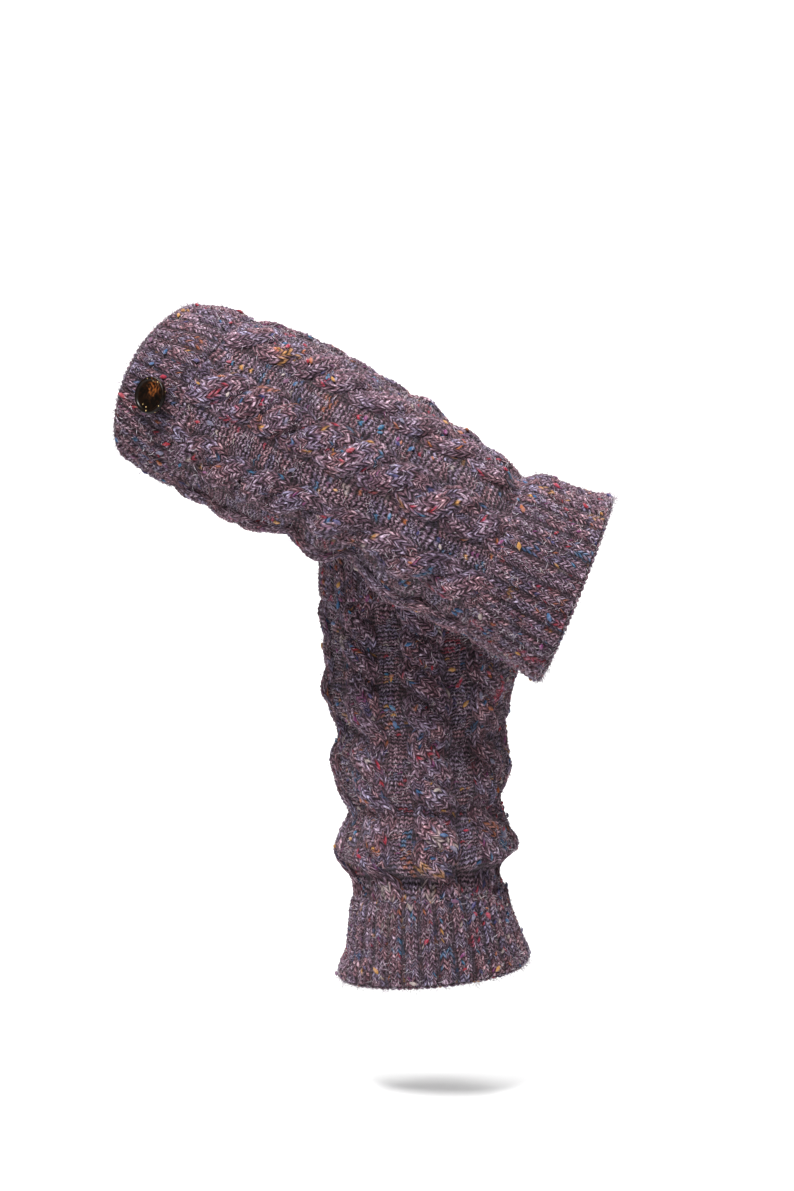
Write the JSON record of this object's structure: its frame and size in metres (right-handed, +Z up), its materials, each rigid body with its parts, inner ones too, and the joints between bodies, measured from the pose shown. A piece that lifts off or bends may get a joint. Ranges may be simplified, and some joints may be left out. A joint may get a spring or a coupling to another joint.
{
  "type": "pair of leg warmers",
  "caption": "Pair of cable-knit tweed wool leg warmers with ribbed cuffs and a side button, in worn hollow form, one upright and one raised across it.",
  "frame": {"origin": "centre of the standing leg warmer's upper cuff, where the calf holds it", "axes": "+Z up, -Y towards the viewer, +X to the viewer's right; the standing one leans its top slightly to -X, and the raised one falls from -X to +X in front of its top"},
  "size_m": [0.371, 0.291, 0.5411],
  "materials": {
    "tweed_wool": "heathered mauve-grey tweed wool with coloured nepps, cabled, lightly fuzzy",
    "tweed_rib": "the same tweed wool in rib",
    "mottled_horn": "glossy dark mottled horn-like button"
  },
  "bodies": {
    "root": {"standing_upper_cuff": "tweed_rib", "standing_upper_body": "tweed_wool", "standing_lower_body": "tweed_wool", "standing_lower_cuff": "tweed_rib", "standing_button": "mottled_horn", "raised_upper_cuff": "tweed_rib", "raised_upper_body": "tweed_wool", "raised_lower_body": "tweed_wool", "raised_lower_cuff": "tweed_rib", "raised_button": "mottled_horn"}
  },
  "joints": []
}
